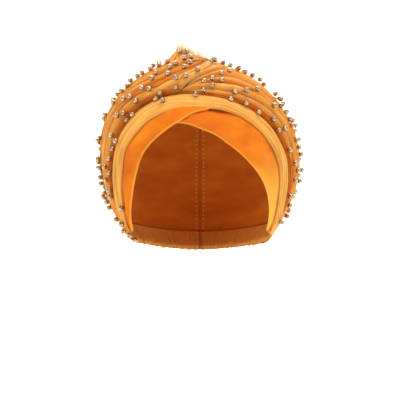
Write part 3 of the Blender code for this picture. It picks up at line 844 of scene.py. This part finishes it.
left_crossing = crossing_path(CROSSING_NEAREST, CROSSING_FROM)
left_groove = band_top_path(CROSSING_CLOCK, -FOOT_CLOCK)
left_front = np.concatenate((left_crossing, left_groove))
left_back = crossing_path(CROSSING_NEAREST, CROSSING_END)
left_foot = math.degrees(math.atan2(left_front[-1][0], -left_front[-1][1]))
corner_share = np.linalg.norm(np.diff(left_crossing, axis=0), axis=1).sum()
corner_share /= np.linalg.norm(np.diff(left_front, axis=0), axis=1).sum()
left_random = np.random.default_rng(LEFT_SEED)
left_widths = left_random.uniform(0.65, 1.35, LEFT_PLEATS) * np.linspace(1.25, 0.75, LEFT_PLEATS)
left_creases = np.concatenate(((0,), np.cumsum(left_widths))) / left_widths.sum()


def left_wrap_aim(w, v):
    """Directions on line w of the wrap, 0 the front edge and 1 the rear, v from tuft to rim."""

    def straight(line):
        share = line - 0.13 * np.sin(2 * math.pi * line)
        gather = fan_direction(CROSSING_NEAREST - 360 * share, 0 * line + GATHER_SPREAD)
        azimuth = left_foot + (RIGHT_END_AZIMUTH - 360 - left_foot) * line
        rim = rim_direction(np.where(azimuth < -180, azimuth + 360, azimuth))
        rim = np.where(line[:, None] == 0, left_front[-1], rim)
        return between(gather, rim, v)

    front_pull = np.maximum(0, 1 - w / LEFT_BEND)[:, None] ** 1.5
    back_pull = np.maximum(0, 1 - (1 - w) / LEFT_BEND)[:, None] ** 1.5
    aim = straight(w)
    aim = aim + (along(left_front, v) - straight(0 * w)) * front_pull
    aim = aim + (along(left_back, v) - straight(0 * w + 1)) * back_pull
    return unit(aim)


def left_wrap_shape(relief):
    """From the tuft down to the rim, and across from the front fold to the rear edge."""

    def shape(across, down):
        front_curl = 1 - part_way(across, 0, LEFT_CURL)
        front_turn = front_curl * CURL_TURN
        rear_turn = (1 - part_way(1 - across, 0, LEFT_CURL)) * CURL_TURN
        w = part_way(across, LEFT_CURL, 1 - LEFT_CURL)
        v, rim = part_way(down, LEFT_GATHER, RIM_SHARE), part_way(down, RIM_SHARE, 1)
        core = 1 - part_way(down, 0, LEFT_GATHER)
        calm = 1 - core
        edge_aim, rear_aim = left_wrap_aim(0 * w, v), left_wrap_aim(0 * w + 1, v)
        front_side = unit(edge_aim - left_wrap_aim(0 * w + 0.004, v))
        rear_side = unit(rear_aim - left_wrap_aim(0 * w + 0.996, v))
        aim = unit(left_wrap_aim(w, v) * calm[:, None] + TUFT_AXIS * core[:, None])
        full = cloth_height(aim)
        depth = PLEAT_DEPTH * relief * np.minimum(1, full / FULL_HEIGHTS["left pleats"])
        depth = depth * smooth(0.0, 0.16, v)
        full = full + 0.8 * np.sin(w * 23 + v * 7) * np.sin(v * 9 - w * 11) * smooth(0, 0.2, v)
        crest = 1 + (pleats(left_creases, w, v, LEFT_PLEAT_SEED) - 1) * smooth(0, 0.012, w)
        height = full + depth * (crest - 1)
        beside_band = smooth(corner_share - 0.04, corner_share + 0.08, v)
        edge = np.minimum(full, EDGE_HEIGHT) * beside_band + (full - 0.8) * (1 - beside_band)
        distance = np.linalg.norm(aim - edge_aim, axis=1) * head_reach(aim)
        rounded = rounding(distance, LEFT_ROUNDING + ROUNDING_BY_BAND * beside_band)
        height = np.where(w < 0.5, edge + (height - edge) * rounded, height)
        # Painted shade along the low edge beside the band and inside the front curl.
        band_edge_shadow = beside_band * (1 - smooth(-1.5, 3.0, distance))
        crest = crest * smooth(-0.3, 0.5, 1 - front_curl)
        crest = crest * (1 - np.where(w < 0.5, band_edge_shadow, 0))
        for turn, drop in ((front_turn, FRONT_CURL_DOWN), (rear_turn, REAR_CURL_DOWN)):
            curled = np.minimum(1, height / FULL_HEIGHTS["curl"])
            height = height - drop * (1 - np.cos(turn)) * curled * calm
        push = front_side * (FRONT_CURL_OUT * np.sin(front_turn) * calm)[:, None]
        push = push + rear_side * (REAR_CURL_OUT * np.sin(rear_turn) * calm)[:, None]
        aim = unit(aim + push / TYPICAL_REACH)
        flutes = FLUTE_HEIGHT * np.sin(w * 2 * math.pi * FLUTES)
        flutes = flutes * smooth(0, 0.5, core) * smooth(1, 0.6, core)
        height = height + GATHER_RISE * core**2 + flutes - BELOW_NET
        return above_head(aim, height + (RIM_CLOTH - height) * rim), crest + (1 - crest) * core

    return shape


left_net = net_finish("amber_net_on_crown", CROWN_COLOURS, CROWN_COVER, gathers=(22, 0.8))
left_haze_net = net_finish(
    "loose_amber_net_crown", HAZE_COLOURS, HAZE_COVER, gathers=(22, 1.0)
)
left_cloth = [
    lay_cloth(name, *grid, left_wrap_shape(relief), finish, lift, least)
    for name, grid, relief, finish, lift, least in (
        ("velvet_left_wrap", (420, 190), 1, veiled, 0, OVER_CAP),
        ("net_left_wrap", (420, 190), 1, left_net, NET_LIFT, OVER_VELVET),
        ("loose_net_left", (240, 120), LOOSE_RELIEF, left_haze_net, LOOSE_NET_LIFT, OVER_VELVET),
    )
]
under = "velvet_cap"
for piece in left_cloth:
    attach(piece, "root")
    under = piece.name
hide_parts("left_wrap")


# TUFT. The free ends of the net, drawn up through the gather and left standing as a crumpled
# cream peak that leans to the wearer's right.

TUFT_TIP = np.array((-18, -1, 40))
TUFT_FOOT = 16
TUFT_REACH = {"left": 31, "right": 12.5, "deep": 17}
CORE_LEFT_SHARE, CORE_VEIL_LIFT = 0.78, 0.6

# Each sheet's name, size and height as shares of the tuft's, seed, and how hollow its side is.
TUFT_SHEETS = (
    ("net_tuft_outer", 1.0, 1.0, 1.0, 1.3),
    ("net_tuft_middle", 0.86, 0.94, 2.6, 1.1),
    ("net_tuft_inner", 0.72, 0.84, 4.4, 0.9),
)
TUFT_CORE = (1.02, 0.76, 0.4, 0.3)
TUFT_COLOURS, TUFT_CREASE_SHADE = ((1.0, 0.80, 0.50), (0.97, 0.68, 0.36)), (0.93, 0.56, 0.24)


def tuft_shape(size, height, seed, hollow_side, left_share=1.0):
    """A crumpled peak, steep to the wearer's right and long to the left, open at its top."""

    def shape(around, up):
        turn = around * 2 * math.pi
        cosine, sine = np.cos(turn), np.sin(turn)
        wide = np.where(cosine > 0, TUFT_REACH["left"] * left_share, TUFT_REACH["right"]) * cosine
        deep = TUFT_REACH["deep"] * sine
        gathers = np.sin(turn * 14 + 3 * up + 2 * seed + 1.5 * np.sin(turn * 3))
        flutes = 1 + 0.14 * np.sin(turn * 5 + seed) + 0.1 * gathers
        hollow = 0.8 + (hollow_side + 0.2) * (1 - cosine) / 2 + 0.3 * abs(sine)
        out = size * flutes * (1 - up) ** hollow
        crumple = 1 + 0.3 * np.sin(turn * 3 + up * 8 + seed) - 0.45 * up**3
        ragged = 1 + 0.025 * np.sin(turn * 2 + seed) * up + 0.03 * np.sin(turn * 5 + seed) * up
        x = TUFT_TIP[0] + wide * out + 3.4 * size * cosine * crumple
        y = TUFT_TIP[1] + deep * out + 2.0 * size * sine * crumple
        z = TUFT_FOOT + (TUFT_TIP[2] - TUFT_FOOT) * height * up * ragged
        # The returned mask puts painted shade into the gathers' creases.
        return np.stack((x, y, z), -1), 0.62 + 0.38 * gathers

    return shape


tuft_net = net_finish(
    "sheer_net_ends",
    TUFT_COLOURS,
    cover=(0.3, 0.65),
    gathers=(16, 1.3),
    streak=7,
    crease=TUFT_CREASE_SHADE,
)
core_shape = tuft_shape(*TUFT_CORE, left_share=CORE_LEFT_SHARE)
tuft_core = lay_cloth("velvet_tuft_core", 150, 30, core_shape, veiled)
tuft_veil = lay_cloth("net_tuft_core", 150, 30, core_shape, left_net, CORE_VEIL_LIFT)
tuft_sheets = [
    lay_cloth(name, 150, 40, tuft_shape(*crumpled), tuft_net) for name, *crumpled in TUFT_SHEETS
]
for ruffle in (tuft_core, tuft_veil, *tuft_sheets):
    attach(ruffle, "root")
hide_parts("net_tuft")


# BEADS. Plated round beads of 5 mm, each sewn to the net by hand, in loose rows and pairs. Those
# at the front are placed as seen from there, in millimetres. The rest are scattered like them.

BEAD_RADIUS, BEAD_STANDS, BEAD_GAP = 2.5, 1.9, 5.4
BEAD_NODES = [f"bead_{number:02d}" for number in range(1, 41)]
GILT_DEEP, GILT_BRIGHT = (0.30, 0.18, 0.09), (0.66, 0.50, 0.32)

# Places to the wearer's left and up, as seen from the front.
SEWN_AT_THE_FRONT = (
    *((-36, -6), (-40, -11), (-34, -12), (-58, -13), (-69, -11), (-46, -2), (-22, -1)),
    *((-75, -26), (-69, -24), (-61, -25), (-66, -30), (-80, -44), (-76, -49), (-79, -56)),
    *((-82, -65), (-86, -72), (-92, -73), (-82, -78), (-85, -84), (-82, -93), (-81, -99)),
    *((-71, -110), (-71, -124), (-64, -134), (-59, -138)),
    *((-27, 18), (-22, 21), (-29, 12), (-22, 8), (-13, 10), (-14, 18), (-2, 16), (-40, 13)),
    *((-66, 1), (-4, -7), (3, -3), (11, 1), (20, 6), (35, 17), (48, 12), (21, 22)),
    *((42, -3), (52, -2), (28, -11), (69, -5), (67, -17), (73, -17), (71, -39), (81, -29)),
    *((81, -57), (86, -69), (86, -84), (81, -107)),
    *((-18, 32), (-12, 32), (-8, 27), (-14, 26), (-9, 22)),
)
NEARER_MIDDLE = 0.985
RINGS, RING_FROM, RING_STEP, WIDEST_RING, LEAST_IN_RING = 9, 16, 12.5, 30, 5
SCATTER_SEED, TURN_SCATTER, AWAY_SCATTER = 3, 7, 5
PAIR_CHANCE, PAIR_TURN, PAIR_AWAY = 0.4, 4.0, 3.2
BEHIND, LOWEST = -0.12, -0.52
SENT_FROM, TOUCHING, LOST_AFTER = 200, 0.05, 2000

gilt, gilt_shader = finish_named("antique_gilt", 0.1, Metallic=1.0)
mottle(gilt_shader, GILT_DEEP, GILT_BRIGHT, scale=500, detail=2)

ground = []
for cloth in (left_cloth[2], right_cloth[2], band_veil, left_panel, right_panel, tuft_sheets[0]):
    corners = [vertex.co for vertex in cloth.data.vertices]
    ground.append(BVHTree.FromPolygons(corners, [face.vertices[:] for face in cloth.data.polygons]))
beads_at = []


def sew(place, spaced=True):
    """Adds a bead unless another is in its way."""
    near = min(((place - other).length for other in beads_at), default=1)
    if not spaced or near > BEAD_GAP * MM:
        beads_at.append(place)


def rest_on_cloth(start, aim):
    """Where a bead sent along a line comes to touch cloth, or nothing."""
    place, gap = start, 1
    while gap > TOUCHING * MM:
        gap = min(tree.find_nearest(place)[3] for tree in ground) - BEAD_STANDS * MM
        place = place + aim * gap
        if (place - start).length > LOST_AFTER * MM:
            return None
    return place


for node in BEAD_NODES:
    low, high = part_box(node)
    sew((Vector(low) + Vector(high)) / 2, spaced=False)
for x, z in SEWN_AT_THE_FRONT:
    place = None
    while place is None:
        aim = Vector((x, 0, z)) * MM - camera_object.location
        place = rest_on_cloth(camera_object.location, aim.normalized())
        x, z = x * NEARER_MIDDLE, MIDDLE[2] + (z - MIDDLE[2]) * NEARER_MIDDLE
    sew(place)
scatter = np.random.default_rng(SCATTER_SEED)
for ring in range(RINGS):
    spread = RING_FROM + RING_STEP * ring
    count = max(LEAST_IN_RING, round(WIDEST_RING * math.sin(math.radians(spread))))
    for step in range(count):
        heading = (step + 0.5 * (ring % 2)) * 360 / count
        heading = heading + scatter.uniform(-TURN_SCATTER, TURN_SCATTER)
        away = spread + scatter.uniform(-AWAY_SCATTER, AWAY_SCATTER)
        for beside in range(1 + (scatter.uniform() < PAIR_CHANCE)):
            turned, spread_out = heading + PAIR_TURN * beside, away + PAIR_AWAY * beside
            aim = fan_direction(np.array(turned), np.array(spread_out))
            if aim[1] > BEHIND and aim[2] > LOWEST:
                sew(rest_on_cloth(Vector(MIDDLE + aim * SENT_FROM) * MM, -Vector(aim)))

knots = bpy.data.meshes.new("gilt_beads")
knots.from_pydata(beads_at, [], [])
knots.materials.append(gilt)
bead_piece = bpy.data.objects.new("gilt_beads", knots)
bpy.context.scene.collection.objects.link(bead_piece)
stringing = bpy.data.node_groups.new("bead_on_each_knot", "GeometryNodeTree")
for way in ("INPUT", "OUTPUT"):
    stringing.interface.new_socket("Geometry", in_out=way, socket_type="NodeSocketGeometry")
chain = [
    stringing.nodes.new(kind)
    for kind in (
        "NodeGroupInput",
        "GeometryNodeInstanceOnPoints",
        "GeometryNodeRealizeInstances",
        "GeometryNodeSetShadeSmooth",
        "GeometryNodeSetMaterial",
        "NodeGroupOutput",
    )
]
_, placed, _, _, gilded, _ = chain
for before, after in zip(chain, chain[1:]):
    stringing.links.new(before.outputs[0], after.inputs[0])
gilded.inputs["Material"].default_value = gilt
ball = stringing.nodes.new("GeometryNodeMeshIcoSphere")
ball.inputs["Subdivisions"].default_value = 2
ball.inputs["Radius"].default_value = BEAD_RADIUS * MM
stringing.links.new(ball.outputs["Mesh"], placed.inputs["Instance"])
bead_piece.modifiers.new("beads", "NODES").node_group = stringing
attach(bead_piece, "root")
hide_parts(*BEAD_NODES)
